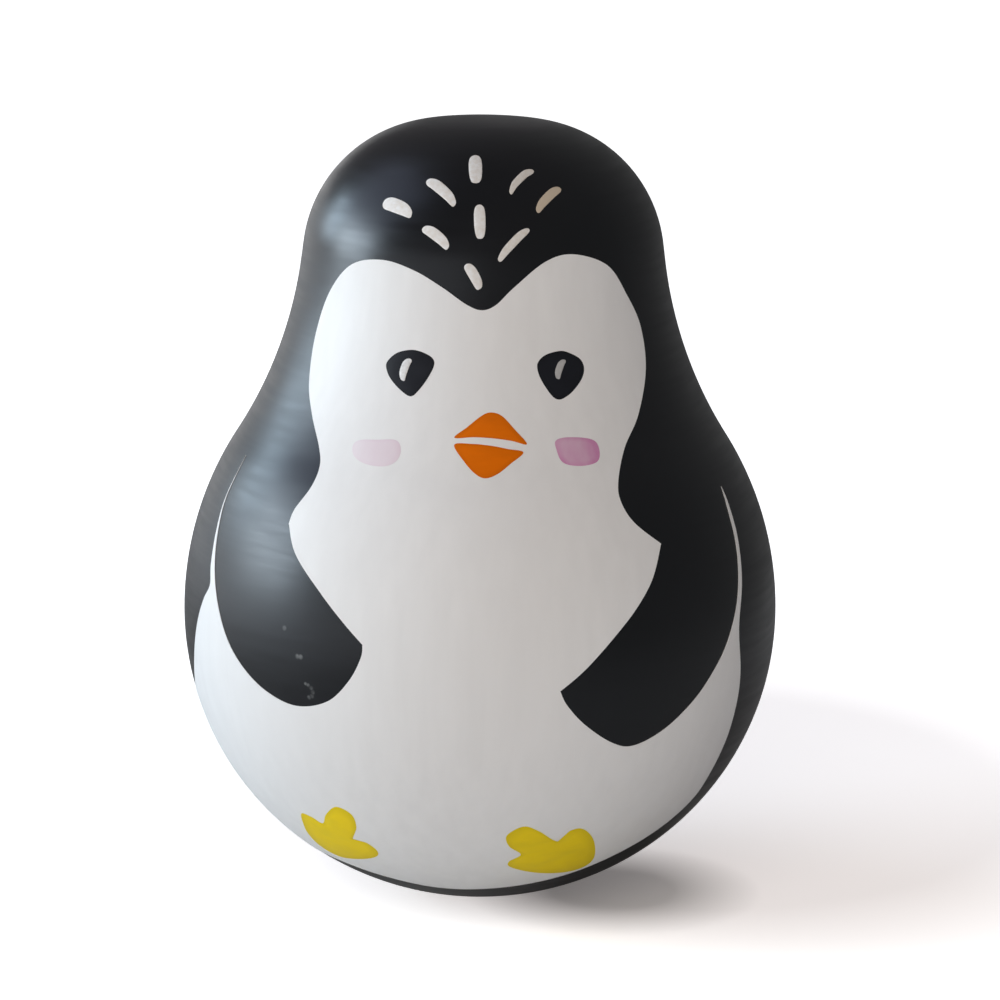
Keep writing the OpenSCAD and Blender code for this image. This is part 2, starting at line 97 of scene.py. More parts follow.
BACK = [
    LEFT_POINT, (-0.834, 0.54), (-0.863, 0.5), (-0.879, 0.46), (-0.881, 0.435), (-0.903, 0.415),
    (-0.923, 0.39), (-0.937, 0.36), (-0.945, 0.325), (-0.948, 0.3), (-0.949, 0.28), (-0.947, 0.26),
    (-0.935, 0.24), (-0.92, 0.22), (-0.87, 0.18), (-0.815, 0.15), (-0.75, 0.12), (-0.66, 0.094),
    (-0.57, 0.082), (-0.46, 0.0765), (-0.3, 0.064), (-0.1, 0.053), (0.12, 0.06), (0.33, 0.08),
    (0.56, 0.12), (0.7, 0.16), (0.765, 0.2), (0.818, 0.25), (0.847, 0.3), (0.854, 0.34),
    (0.845, 0.395), (0.854, 0.45), (0.84, 0.5), (0.81, 0.54), RIGHT_POINT,
]
RIGHT_ARM_BACK = [
    RIGHT_POINT, (0.803, 0.54), (0.831, 0.5), (0.842, 0.46), (0.834, 0.42), (0.802, 0.38),
    (0.757, 0.35), (0.695, 0.32), (0.6, 0.29), (0.5, 0.2745), (0.43, 0.282), (0.34, 0.31),
    (0.282, 0.337), RIGHT_TIP,
]
RIGHT_ARM_FRONT = [RIGHT_TIP, (0.34, 0.38), (0.44, 0.42), (0.506, 0.45), (0.552, 0.48), RIGHT_CORNER]
WHITE_RUNS = [HOOD, LEFT_ARM_FRONT, LEFT_ARM_BACK, BACK, RIGHT_ARM_BACK, RIGHT_ARM_FRONT]
EYES = [
    [
        (-0.225, 0.7435), (-0.19, 0.742), (-0.157, 0.736), (-0.15, 0.7275), (-0.169, 0.7125),
        (-0.198, 0.6975), (-0.223, 0.69), (-0.252, 0.695), (-0.284, 0.706), (-0.301, 0.717),
        (-0.301, 0.727), (-0.27, 0.7385),
    ],
    [
        (0.25, 0.7435), (0.285, 0.7395), (0.315, 0.732), (0.327, 0.7215), (0.32, 0.7095),
        (0.293, 0.6965), (0.269, 0.69), (0.248, 0.6875), (0.227, 0.6915), (0.2, 0.705), (0.182, 0.718),
        (0.178, 0.73), (0.202, 0.7395),
    ],
]
BEAK = [
    [
        (-0.083, 0.646), (-0.043, 0.658), (0.002, 0.671), (0.032, 0.675), (0.067, 0.671),
        (0.107, 0.656), (0.147, 0.639), (0.097, 0.643), (0.037, 0.646), (-0.023, 0.647),
    ],
    [
        (-0.083, 0.638), (-0.023, 0.6395), (0.037, 0.6375), (0.087, 0.634), (0.136, 0.63),
        (0.097, 0.618), (0.057, 0.607), (0.019, 0.602), (-0.013, 0.606), (-0.048, 0.6185),
    ],
]
FEET = [
    [
        (-0.575, 0.157), (-0.54, 0.156), (-0.503, 0.15), (-0.49, 0.167), (-0.455, 0.183), (-0.405, 0.175),
        (-0.39, 0.155), (-0.403, 0.131), (-0.36, 0.131), (-0.323, 0.118), (-0.332, 0.106),
        (-0.393, 0.094), (-0.46, 0.0885), (-0.52, 0.1), (-0.556, 0.119), (-0.57, 0.136),
    ],
    [
        (0.097, 0.158), (0.15, 0.1715), (0.2, 0.163), (0.263, 0.1435), (0.3, 0.159), (0.343, 0.16),
        (0.378, 0.14), (0.386, 0.108), (0.36, 0.0895), (0.298, 0.082), (0.2, 0.0875), (0.113, 0.102),
        (0.105, 0.113), (0.143, 0.125), (0.105, 0.14),
    ],
]
CHEEKS = [
    [
        (-0.407, 0.628), (-0.385, 0.6355), (-0.33, 0.638), (-0.268, 0.6395), (-0.252, 0.629),
        (-0.265, 0.617), (-0.302, 0.61), (-0.36, 0.61), (-0.4, 0.6165),
    ],
    [
        (0.237, 0.641), (0.268, 0.6445), (0.329, 0.6425), (0.366, 0.637), (0.379, 0.6245),
        (0.37, 0.615), (0.329, 0.612), (0.281, 0.614), (0.255, 0.6195), (0.242, 0.63),
    ],
]
# Brush marks: where one starts and ends, its half width, how far it bows, of its length, and its greyness
CROWN_MARKS = [
    ((-0.028, 0.97), (-0.024, 0.9405), 0.021, 0, 0),
    ((-0.012, 0.917), (-0.008, 0.878), 0.018, 0, 0),
    ((-0.052, 0.848), (-0.008, 0.8185), 0.0165, 0.06, 0),
    ((-0.182, 0.941), (-0.09, 0.9155), 0.0165, 0.1, 0),
    ((-0.322, 0.912), (-0.228, 0.902), 0.021, 0.1, 0),
    ((-0.192, 0.888), (-0.11, 0.866), 0.017, 0.1, 0),
    ((0.16, 0.9535), (0.086, 0.929), 0.0115, -0.14, 0.3),
    ((0.247, 0.933), (0.172, 0.908), 0.0145, -0.1, 1),
    ((0.147, 0.889), (0.052, 0.852), 0.013, -0.06, 0.2),
]
GLINT_MARKS = [
    ((-0.225, 0.733), (-0.249, 0.707), 0.012, -0.12, 0),
    ((0.263, 0.733), (0.243, 0.711), 0.011, -0.12, 0.7),
]
# Outline of one brush mark: shares of its length and of its half width
MARK_OUTLINE = [
    (0, 0), (0.07, 0.72), (0.3, 1), (0.72, 0.95), (0.95, 0.62), (1, 0), (0.95, -0.62), (0.7, -0.95),
    (0.28, -1), (0.07, -0.72),
]
# Scuffs on the left flipper, each a round spot: its place, and its radius as a share of the belly's
SCUFFS = [
    ((-0.62, 0.4117), 0.0105), ((-0.577, 0.38), 0.0105), ((-0.566, 0.3802), 0.0105),
    ((-0.55, 0.348), 0.007), ((-0.541, 0.3465), 0.0085), ((-0.531, 0.3435), 0.0095),
    ((-0.526, 0.3385), 0.0095), ((-0.529, 0.3335), 0.0095), ((-0.538, 0.3312), 0.009),
]
# The tighter of the bowl's two roundings, of the bowl's shorter side
TIGHT_SHARE = 0.99
# Edges that turn more than this are shaded sharp
SHARP_TURN = math.radians(35)
# Rings of a domed dab of paint
DAB_RINGS = 7
# How far a coat's inner points stay from its outline, of their spacing
CLEAR_SHARE = 0.6


def length(name, description, default):
    """Setting of a length."""
    return FloatProperty(name=name, description=description, default=default, unit="LENGTH", precision=5)


def angle(name, description, degrees):
    """Setting of an angle."""
    return FloatProperty(
        name=name, description=description, default=math.radians(degrees), subtype="ANGLE")


def power(name, description, default):
    """Setting of a lamp's power."""
    return FloatProperty(name=name, description=description, default=default, unit="POWER")


def colour(name, description, default):
    """Setting of a colour."""
    return FloatVectorProperty(
        name=name, description=description, default=default, subtype="COLOR", size=3)


class RolyPolySizes(bpy.types.PropertyGroup):
    """Sizes of the turned body and of its coats of paint"""

    body_h: length("Height", "Height of the toy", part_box("upper_shell")[1].z)
    belly_d: length("Belly", "Greatest diameter, across the belly", 2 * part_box("lower_shell")[1].x)
    belly_h: length("Belly height", "Height of the widest ring above the round base", 44.6 * MM)
    foot_d: length("Foot", "Diameter of the small flat under the base", 6 * MM)
    shoulder_r: length("Shoulder", "Radius of the side above the belly", 50 * MM)
    neck_r: length("Neck", "Radius of the hollow of the neck", 66 * MM)
    head_d: length("Head", "Diameter of the head, measured below the crown", 57.4 * MM)
    head_drop: length("Head drop", "How far below the top the head is measured", 30 * MM)
    head_lean: angle("Head lean", "Lean of the sides of the head from upright", 7.5)
    crown_edge_r: length("Crown edge", "Radius of the rounded edge of the crown", 21 * MM)
    crown_r: length("Crown", "Radius of the low dome of the crown", 75 * MM)
    wall_t: length("Wall", "Thickness of the turned wall", 6.5 * MM)
    floor_t: length("Floor", "Wood left under the weight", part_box("ballast_weight")[0].z)
    seam_z: length("Seam", "Height of the glued seam between the shells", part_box("lower_shell")[1].z)
    spigot_z: length(
        "Spigot", "Height of the lower end of the spigot on the upper shell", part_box("upper_shell")[0].z)
    glue_gap: length("Glue gap", "Glue gap around the spigot", 0.1 * MM)
    coat_t: length("White coat", "Thickness of the white coat on the black", 0.08 * MM)
    dab_edge: length("Dab edge", "Thickness of a dab of paint at its edge", 0.02 * MM)
    dab_crown: length("Dab crown", "Thickness of a dab of paint in its middle", 0.1 * MM)


class RolyPolyColours(bpy.types.PropertyGroup):
    """Colours of the paints, as they are mixed"""

    black: colour("Black", "Satin black of the back and the flippers", (0.0035, 0.0035, 0.004))
    white: colour("White", "White of the face and the belly", (0.84, 0.84, 0.84))
    eye_black: colour("Eye black", "Black of the eyes", (0.008, 0.009, 0.014))
    orange: colour("Orange", "Orange of the beak", (0.78, 0.16, 0.0))
    yellow: colour("Yellow", "Yellow of the feet", (0.9, 0.67, 0.008))
    pink: colour("Pink", "Thin pink of the cheeks", (0.6, 0.26, 0.46))
    beige: colour("Beige", "Dulled white of a worn brush mark", (0.6, 0.51, 0.4))


class RolyPolyStage(bpy.types.PropertyGroup):
    """Camera, floor and lamps"""

    elevation: angle("Elevation", "How far the camera looks down", 12)
    roll: angle("Roll", "Turn of the camera about its line of sight", 0.61)
    distance: length("Distance", "From the camera to the middle of the toy", 600 * MM)
    side: length("Sideways", "How far the camera stands to the right of the toy's axis", 2.9 * MM)
    lift: length("Raise", "How far the camera is raised across its line of sight", 1.2 * MM)
    lens: FloatProperty(
        name="Lens", description="Focal length of the camera", default=140.7, unit="CAMERA")
    window_power: power("Window", "Power of the wide window on the left", 5.5)
    window_colour: colour("Window colour", "Cool daylight of the window", (0.82, 0.94, 1.0))
    side_power: power("Side", "Power of the small window behind on the left", 2.0)
    side_colour: colour("Side colour", "Blue daylight of the small window", (0.7, 0.88, 1.0))
    sky_power: power("Sky", "Power of the wide light above the window", 2.0)
    sky_colour: colour("Sky colour", "Colour of the light above the window", (0.68, 0.76, 1.0))
    front_power: power("Front", "Power of the wide light in front", 4.2)
    front_colour: colour("Front colour", "Warm white of the light in front", (1.0, 0.92, 0.83))
    fill: FloatProperty(
        name="Fill", description="Level of the light from all around", default=0.15)
    fill_colour: colour("Fill colour", "Colour of the light from all around", (1.0, 0.95, 0.98))


class TurnedBody:
    """The turned outline from the foot to the crown, and places on the body.

    The outline is arcs that run into each other: the round base, the low belly, the shoulder, the
    hollow of the neck, the straight side of the head, the rounded edge and the low dome of the crown.
    Each of its points has a radius, a height, an outward normal and a distance along the outline, and
    any place between them is interpolated by that distance.
    """

    STEP = 0.1 * MM

    def __init__(self, sizes):
        self.sizes = sizes
        self.belly_r = sizes.belly_d / 2
        rows = self.outline_rows(sizes)
        step = np.hypot(*np.diff(rows[:, :2], axis=0).T)
        rows = rows[np.concatenate([[True], step > TINY])]
        self.r, self.z, self.normal_r, self.normal_z = rows.T
        self.s = np.concatenate([[0], np.cumsum(np.hypot(np.diff(self.r), np.diff(self.z)))])

    def arc(self, centre, radius, start, end, side=1):
        """Points of an arc between two angles, and normals, which point to the centre in a hollow."""
        count = max(2, math.ceil(abs(end - start) * radius / self.STEP))
        turn = np.linspace(start, end, count)
        way = np.stack([np.cos(turn), np.sin(turn)], axis=1)
        return np.hstack([centre + radius * way, side * way])

    def outline_rows(self, sizes):
        """All arcs of the outline, each tangent to the next."""
        side_n = np.array([math.cos(sizes.head_lean), math.sin(sizes.head_lean)])
        side_t = np.array([-side_n[1], side_n[0]])

        def slide_to(start, centre, distance):
            """Point reached from start along the head's side, upwards, at a distance from a centre."""
            off = start - centre
            along = off @ side_t
            return start + (math.sqrt(along**2 - off @ off + distance**2) - along) * side_t

        short, long = sorted((self.belly_r, sizes.belly_h))
        tight = TIGHT_SHARE * short
        wide = (short**2 + long**2 - 2 * long * tight) / (short - tight) / 2
        base_r, low_r = (wide, tight) if sizes.belly_h < self.belly_r else (tight, wide)
        meet = -math.atan2(abs(base_r - sizes.belly_h), abs(self.belly_r - low_r))
        foot = math.asin(sizes.foot_d / 2 / base_r)
        base_c = np.array([0, base_r * math.cos(foot)])
        belly_z = sizes.belly_h - base_r + base_c[1]
        low_c = np.array([self.belly_r - low_r, belly_z])
        side_off = side_n @ [sizes.head_d / 2, sizes.body_h - sizes.head_drop]
        crown_c = np.array([0, sizes.body_h - sizes.crown_r])
        edge_start = side_n * (side_off - sizes.crown_edge_r)
        edge_c = slide_to(edge_start, crown_c, sizes.crown_r - sizes.crown_edge_r)
        bend_c = np.array([self.belly_r - sizes.shoulder_r, belly_z])
        hollow_c = slide_to(side_n * (side_off + sizes.neck_r), bend_c, sizes.shoulder_r + sizes.neck_r)
        edge_turn = math.atan2(*(edge_c - crown_c)[::-1])
        bend_turn = math.atan2(*(hollow_c - bend_c)[::-1])
        return np.vstack([
            [[0, 0, 0, -1], [sizes.foot_d / 2, 0, 0, -1]],
            self.arc(base_c, base_r, foot - math.pi / 2, meet),
            self.arc(low_c, low_r, meet, 0),
            self.arc(bend_c, sizes.shoulder_r, 0, bend_turn),
            self.arc(hollow_c, sizes.neck_r, math.pi + bend_turn, math.pi + sizes.head_lean, side=-1),
            self.arc(edge_c, sizes.crown_edge_r, sizes.head_lean, edge_turn),
            self.arc(crown_c, sizes.crown_r, edge_turn, math.pi / 2),
        ])

    def at(self, s, lift=0.0):
        """Radius and height at a distance along the outline, lifted along the normal."""
        columns = (np.interp(s, self.s, c) for c in (self.r, self.z, self.normal_r, self.normal_z))
        r, z, normal_r, normal_z = columns
        return r + lift * normal_r, z + lift * normal_z

    def stretch(self, low, high, lift, step):
        """Half section between two heights, as rows of radius and height, with a short row at each end."""
        rise = (self.z + lift * self.normal_z)[2:]
        start, end = np.interp([low, high], rise, self.s[2:])
        s = np.linspace(start, end, math.ceil((end - start) / step) + 1)
        s = np.concatenate([s[:1], s[:1] + self.STEP, s[1:-1], s[-1:] - self.STEP, s[-1:]])
        return np.stack(self.at(s, lift), axis=1)

    def unroll(self, places):
        """Turn about the axis and distance along the outline of places in the front view (x and height).

        A place beside the body is taken to its side, a quarter turn from the front.
        """
        x, z = places[..., 0], places[..., 1]
        s = np.interp(z, self.z, self.s)
        return np.arcsin(np.clip(x / self.at(s)[0], -1, 1)), s

    def points(self, turn, s, lift):
        """Points on the body at a turn from its front and a distance along its outline."""
        r, z = self.at(s, lift)
        return np.stack([r * np.sin(turn), -r * np.cos(turn), z], axis=-1)

    def place(self, shares):
        """Places in the front view of points given in shares."""
        return np.asarray(shares, float) * (self.belly_r, self.sizes.body_h)


def smooth_curve(points, steps, closed):
    """Curve through given points: each stretch is a cubic whose slopes come from its neighbours."""
    p = np.asarray(points, float)
    if closed:
        before, start, after, last = np.roll(p, 1, 0), p, np.roll(p, -1, 0), np.roll(p, -2, 0)
    else:
        padded = np.vstack([p[:1], p, p[-1:]])
        before, start, after, last = padded[:-3], padded[1:-2], padded[2:-1], padded[3:]
    u = np.arange(steps)[None, :, None] / steps
    a, b, c, d = (q[:, None, :] for q in (before, start, after, last))
    run = 2 * b + (c - a) * u + (2 * a - 5 * b + 4 * c - d) * u**2 + (3 * b - a - 3 * c + d) * u**3
    return run.reshape(-1, 2) / 2


def brush_mark(body, mark):
    """Outline of a brush mark: the unit outline carried along a line that bows like a parabola."""
    start, end, half_w, bow, _ = mark
    start, end = body.place([start, end])
    along = end - start
    side = np.array([-along[1], along[0]]) / np.hypot(*along)
    shape = np.array(MARK_OUTLINE, float)
    u, v = shape[:, :1], shape[:, 1:]
    across = v * half_w * body.belly_r + 4 * bow * np.hypot(*along) * u * (1 - u)
    return start + along * u + side * across


def ring_quads(rows, columns, first=0):
    """Quads of a grid closed round its columns, with the number of its first point."""
    row = np.arange(rows - 1)[:, None] * columns + first
    column = np.arange(columns)[None, :]
    after = (column + 1) % columns
    quads = [row + column, row + after, row + columns + after, row + columns + column]
    return np.stack(quads, axis=-1).reshape(-1, 4)


def closed_faces(rows, columns):
    """Faces of a grid closed round its columns, with a point before its first row and after its last."""
    first = np.arange(columns) + 1
    last = first + (rows - 1) * columns
    end = rows * columns + 1
    low_fan = np.stack([np.zeros_like(first), np.roll(first, -1), first], axis=1)
    high_fan = np.stack([np.full_like(last, end), last, np.roll(last, -1)], axis=1)
    return ring_quads(rows, columns, 1).tolist() + low_fan.tolist() + high_fan.tolist()


def add_piece(name, points, faces, material, replaced, attributes=None):
    """Mesh piece at the origin that rides on the toy and stands for a CAD node."""
    mesh = bpy.data.meshes.new(name)
    mesh.from_pydata(points.tolist(), [], faces)
    if mesh.validate():
        raise RuntimeError(f"{name} has faces that aren't valid")
    for key, values in (attributes or {}).items():
        mesh.attributes.new(key, "FLOAT", "POINT").data.foreach_set("value", values)
    mesh.shade_smooth()
    mesh.set_sharp_from_angle(angle=SHARP_TURN)
    mesh.materials.append(material)
    piece = bpy.data.objects.new(name, mesh)
    bpy.context.scene.collection.objects.link(piece)
    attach(piece, "toy")
    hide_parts(replaced)
    return piece


def revolve(section, columns):
    """Closed surface: a half section that starts and ends on the axis, carried round it."""
    turn = np.arange(columns) * 2 * math.pi / columns
    r, z = section[1:-1, :1], section[1:-1, 1:]
    rings = np.stack([r * np.sin(turn), -r * np.cos(turn), z + 0 * turn], axis=-1)
    poles = [[(0, 0, section[i, 1])] for i in (0, -1)]
    points = np.vstack([poles[0], rings.reshape(-1, 3), poles[1]])
    return points, closed_faces(len(section) - 2, columns)


def painted_dabs(body, outlines, base):
    """Domed dabs of paint over outlines in the front view, as points, faces and edge shares.

    Each dab is a polar grid. Its rings are the outline drawn in towards its middle, lifted off the body
    by a quarter of an ellipse from the edge to the crown, and the same rings at the base height close it
    below.
    """
    sizes = body.sizes
    points, faces, edges, owners = [], [], [], []
    for number, outline in enumerate(outlines):
        x, z = outline.T
        if np.sum(x * np.roll(z, -1) - z * np.roll(x, -1)) > 0:
            outline = outline[::-1]
        middle = outline.mean(0)
        share = np.linspace(0, 1, DAB_RINGS + 1)[1:]
        share = np.concatenate([[0], share, share[::-1], [0]])
        dome = base + sizes.dab_edge + (sizes.dab_crown - sizes.dab_edge) * np.sqrt(1 - share**2)
        lift = np.where(np.arange(len(share)) <= DAB_RINGS, dome, base)
        places = middle + share[:, None, None] * (outline - middle)
        turn, s = body.unroll(places)
        grid = body.points(turn, s, lift[:, None])
        start = sum(map(len, points))
        points.append(np.vstack([grid[:1, 0], grid[1:-1].reshape(-1, 3), grid[-1:, 0]]))
        faces += [[start + i for i in face] for face in closed_faces(len(share) - 2, len(outline))]
        edges.append(np.concatenate([[0], np.repeat(share[1:-1], len(outline)), [0]]))
        owners.append(np.full(len(points[-1]), number))
    return np.vstack(points), faces, np.concatenate(edges), np.concatenate(owners)


def coat_sheet(body, outline, base, top, spacing):
    """Even coat inside an outline in the front view, as points and faces.

    The outline is unrolled to arc lengths round the front and along the side, filled with a grid of
    points, joined by Delaunay triangles and laid back on the body at two heights, with walls between
    their edges.
    """
    turn, s = body.unroll(outline)
    loop = np.stack([turn * body.belly_r, s], axis=1)
    low, high = loop.min(0), loop.max(0)
    axes = [np.arange(low[i] + spacing / 2, high[i], spacing) for i in (0, 1)]
    grid = np.stack(np.meshgrid(*axes), axis=-1).reshape(-1, 2)
    gap = ((grid[:, None, :] - loop[None, :, :]) ** 2).sum(-1).min(1)
    flat = np.vstack([loop, grid[gap > (CLEAR_SHARE * spacing) ** 2]])
    ring = list(range(len(loop)))
    made = delaunay_2d_cdt([Vector(p) for p in flat], [], [ring], 1, TINY)
    flat = np.array([tuple(p) for p in made[0]])
    triangles = np.array(made[2])
    used, triangles = np.unique(triangles, return_inverse=True)
    flat, triangles = flat[used], triangles.reshape(-1, 3)
    count = len(flat)
    half = np.vstack([triangles[:, [i, (i + 1) % 3]] for i in range(3)])
    _, where, times = np.unique(np.sort(half, axis=1), axis=0, return_index=True, return_counts=True)
    a, b = half[where[times == 1]].T
    walls = np.stack([b, a, a + count, b + count], axis=1)
    place = (flat[:, 0] / body.belly_r, flat[:, 1])
    points = np.vstack([body.points(*place, top), body.points(*place, base)])
    return points, triangles.tolist() + (triangles[:, ::-1] + count).tolist() + walls.tolist()


class Finish:
    """Material with one principled shader, and short calls that add nodes to it."""

    # The span that most of a noise lies in
    NOISE_SPAN = (0.3, 0.7)
    # Numbers of the colour mix node's factor, two colours and result
    MIX_FACTOR, MIX_FIRST, MIX_SECOND, MIX_RESULT = 0, 6, 7, 2
    # Share of a spot's radius inside which it is full
    SPOT_CORE = 0.4

    def __init__(self, name, values):
        self.material = bpy.data.materials.new(name)
        self.material.use_nodes = True
        self.tree = self.material.node_tree
        self.shader = self.tree.nodes["Principled BSDF"]
        self.put(self.shader, values)
        self.coords = self.tree.nodes.new("ShaderNodeTexCoord").outputs["Object"]

    def put(self, node, values):
        """Links or sets the named inputs of a node."""
        for socket, value in values.items():
            if isinstance(value, bpy.types.NodeSocket):
                self.tree.links.new(value, node.inputs[socket])
            else:
                node.inputs[socket].default_value = value

    def add(self, kind, values, **settings):
        """New node with its settings and inputs."""
        node = self.tree.nodes.new(kind)
        for setting, value in settings.items():
            setattr(node, setting, value)
        self.put(node, values)
        return node

    def noise(self, scale, stretch=(1, 1, 1), detail=3.0):
        """Noise over the piece, in repeats a metre, drawn out along the axes where stretch is small."""
        mapped = self.add("ShaderNodeMapping", {"Vector": self.coords, "Scale": stretch}).outputs["Vector"]
        values = {"Vector": mapped, "Scale": scale, "Detail": detail}
        return self.add("ShaderNodeTexNoise", values).outputs["Fac"]

    def remap(self, value, low, high, to_low, to_high):
        """Value taken from one range to another and held there."""
        values = {"Value": value, "From Min": low, "From Max": high, "To Min": to_low, "To Max": to_high}
        return self.add("ShaderNodeMapRange", values).outputs["Result"]

    def spread(self, noise, to_low, to_high):
        """Noise taken from the span that it lies in to another range."""
        return self.remap(noise, *self.NOISE_SPAN, to_low, to_high)

    def attribute(self, name):
        """Value kept on the mesh's own points."""
        return self.add("ShaderNodeAttribute", {}, attribute_name=name).outputs["Fac"]

    def maths(self, operation, a, b):
        """Two values joined by an operation."""
        return self.add("ShaderNodeMath", {0: a, 1: b}, operation=operation).outputs["Value"]

    def mix(self, factor, first, second):
        """Colour between two colours."""
        colours = [c if isinstance(c, bpy.types.NodeSocket) else (*c, 1) for c in (first, second)]
        values = {self.MIX_FACTOR: factor, self.MIX_FIRST: colours[0], self.MIX_SECOND: colours[1]}
        return self.add("ShaderNodeMix", values, data_type="RGBA").outputs[self.MIX_RESULT]

    def bump(self, height, distance, strength=1.0):
        """Relief of a height over the surface."""
        values = {"Height": height, "Distance": distance, "Strength": strength}
        self.put(self.shader, {"Normal": self.add("ShaderNodeBump", values).outputs["Normal"]})

    def spots(self, places):
        """Share from 0 to 1 of round spots, each a point and a radius."""
        total = 0.0
        for point, radius in places:
            far = self.add("ShaderNodeVectorMath", {0: self.coords, 1: point}, operation="DISTANCE")
            spot = self.remap(far.outputs["Value"], self.SPOT_CORE * radius, radius, 1, 0)
            total = self.maths("MAXIMUM", spot, total)
        return total


def shaded(colour, share):
    """Colour made darker or lighter by a share of itself."""
    return tuple(share * c for c in colour)


def satin_black(body, colours):
    """Satin black brushed round the turned body, with a few scuffs on a flipper."""
    finish = Finish("satin_black", {"Specular IOR Level": 0.54, "Specular Tint": (0.87, 0.92, 1, 1)})
    laps = finish.noise(60, (1, 1, 14), 4)
    cloud = finish.noise(45, detail=2)
    tone = finish.mix(finish.spread(cloud, 0, 1), colours.black, shaded(colours.black, 1.7))
    scuff_places = [
        (body.points(*body.unroll(body.place(place)), 0.0), radius * body.belly_r)
        for place, radius in SCUFFS
    ]
    grain = finish.remap(finish.noise(900), 0.35, 0.65, 0.3, 1)
    scuffs = finish.maths("MULTIPLY", finish.spots(scuff_places), grain)
    finish.put(finish.shader, {
        "Base Color": finish.mix(scuffs, tone, (0.15, 0.155, 0.155)),
        "Roughness": finish.remap(finish.maths("ADD", laps, cloud), 0.7, 1.3, 0.28, 0.4),
    })
    finish.bump(laps, 0.03 * MM, 0.35)
    return finish.material


def brushed_white(colours):
    """White laid on in upright strokes, which leave faint streaks."""
    finish = Finish("brushed_white", {"Specular IOR Level": 0.25})
    streaks = finish.noise(420, (1, 1, 0.09), 4)
    cloud = finish.noise(50, (1, 1, 0.5), 2)
    tone = finish.mix(finish.spread(streaks, 0, 1), shaded(colours.white, 0.955), colours.white)
    thin = finish.remap(cloud, 0.35, 0.7, 0, 0.5)
    finish.put(finish.shader, {
        "Base Color": finish.mix(thin, tone, shaded(colours.white, 0.965)),
        "Roughness": finish.spread(streaks, 0.52, 0.44),
    })
    finish.bump(streaks, 0.02 * MM, 0.5)
    return finish.material


def dab_paint(name, colour, edge_colour, gloss):
    """Thick dab paint: its colour gathers at the edge and its brush leaves soft ridges."""
    finish = Finish(name, {"Specular IOR Level": gloss})
    ridges = finish.noise(380, (0.35, 1, 1), 3)
    rim = finish.remap(finish.attribute("edge"), 0.72, 1.0, 0, 0.8)
    patch = finish.remap(ridges, 0.4, 0.7, 0, 0.45)
    finish.put(finish.shader, {
        "Base Color": finish.mix(finish.maths("MAXIMUM", rim, patch), colour, edge_colour),
        "Roughness": finish.spread(ridges, 0.5, 0.4),
    })
    finish.bump(ridges, 0.03 * MM, 0.5)
    return finish.material


def mark_paint(name, colour, worn):
    """White of the small brush marks, duller where a mark is worn."""
    finish = Finish(name, {"Specular IOR Level": 0.25, "Roughness": 0.5})
    ridges = finish.noise(1400, detail=2)
    tone = finish.mix(finish.attribute("greyness"), colour, worn)
    thin = finish.remap(ridges, 0.3, 0.8, 0, 0.5)
    finish.put(finish.shader, {"Base Color": finish.mix(thin, tone, worn)})
    finish.bump(ridges, 0.03 * MM, 0.6)
    return finish.material


def cheek_paint(colours):
    """Thin pink that lets the white through, stronger on the right and where the brush stopped."""
    finish = Finish("cheek_paint", {"Specular IOR Level": 0.2, "Roughness": 0.55})
    streaks = finish.noise(300, (1, 1, 0.4), 3)
    across = finish.add("ShaderNodeSeparateXYZ", {"Vector": finish.coords}).outputs["X"]
    side = finish.remap(across, -18 * MM, 17 * MM, 0.2, 0.9)
    rim = finish.remap(finish.attribute("edge"), 0.7, 0.95, 1, 1.15)
    worn = finish.spread(streaks, 0.8, 1.1)
    cover = finish.maths("MULTIPLY", finish.maths("MULTIPLY", side, rim), worn)
    finish.put(finish.shader, {"Base Color": finish.mix(cover, colours.white, colours.pink)})
    finish.bump(streaks, 0.02 * MM, 0.4)
    return finish.material


def drawn_steel(name, colour, roughness):
    """Metal with fine drawn or turned lines and a little tarnish."""
    finish = Finish(name, {"Metallic": 1.0})
    lines = finish.noise(900, (1, 1, 0.05), 3)
    tarnish = finish.noise(160, detail=4)
    dulled = finish.remap(tarnish, 0.45, 0.75, 0, 0.6)
    finish.put(finish.shader, {
        "Base Color": finish.mix(dulled, colour, shaded(colour, 0.7)),
        "Roughness": finish.spread(lines, roughness, roughness + 0.12),
    })
    finish.bump(lines, 0.01 * MM, 0.4)
    return finish.material


def cast_iron():
    """Grey iron with the grain of its sand mould."""
    finish = Finish("sand_cast_iron", {"Metallic": 0.6, "Roughness": 0.7})
    grain = finish.noise(700, detail=5)
    rust = finish.remap(finish.noise(90, detail=4), 0.52, 0.72, 0, 0.5)
    tone = finish.mix(finish.spread(grain, 0, 1), (0.07, 0.07, 0.075), (0.14, 0.14, 0.145))
    finish.put(finish.shader, {"Base Color": finish.mix(rust, tone, (0.12, 0.06, 0.035))})
    finish.bump(grain, 0.15 * MM, 0.7)
    return finish.material


def beech_wood():
    """Turned beech: long faint grain with short dark flecks."""
    finish = Finish("turned_beech", {"Specular IOR Level": 0.3, "Roughness": 0.6})
    grain = finish.noise(220, (0.12, 1, 1), 4)
    flecks = finish.remap(finish.noise(1500, (0.08, 1, 1), 2), 0.6, 0.75, 0, 0.7)
    tone = finish.mix(finish.spread(grain, 0, 1), (0.5, 0.29, 0.14), (0.66, 0.43, 0.24))
    finish.put(finish.shader, {"Base Color": finish.mix(flecks, tone, (0.3, 0.15, 0.07))})
    finish.bump(grain, 0.04 * MM, 0.5)
    return finish.material


